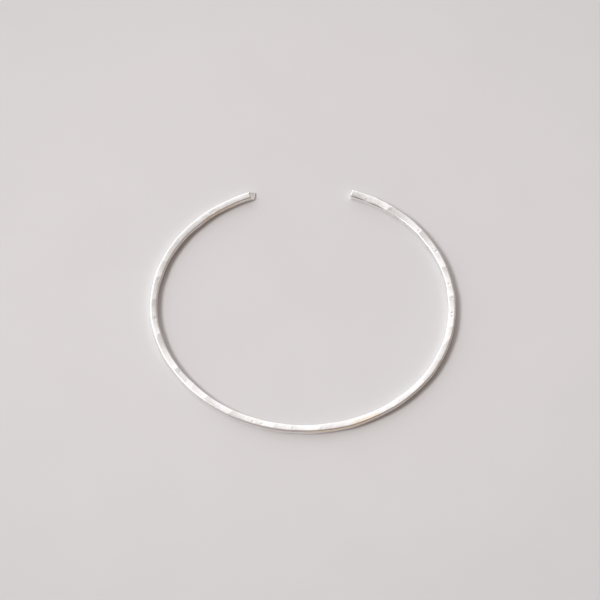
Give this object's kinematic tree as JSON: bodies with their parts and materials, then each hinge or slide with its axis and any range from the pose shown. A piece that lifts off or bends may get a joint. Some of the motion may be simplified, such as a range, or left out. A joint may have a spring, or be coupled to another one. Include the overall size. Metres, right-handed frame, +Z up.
{
  "type": "cuff bracelet",
  "caption": "Thin open cuff bracelet of lightly hammered, nearly square silver wire bent into an oval, with an opening between its ends to slip over the wrist.",
  "frame": {"origin": "middle of the footprint of the bracelet lying on its side, on the surface that it rests on", "axes": "+X across the oval's long width, +Y from the middle towards the opening, +Z up, along the axis of the wrist"},
  "size_m": [0.0626, 0.0536, 0.0017],
  "materials": {
    "silver": "polished, lightly hammered"
  },
  "bodies": {
    "root": {"cuff_wire": "silver"}
  },
  "joints": []
}
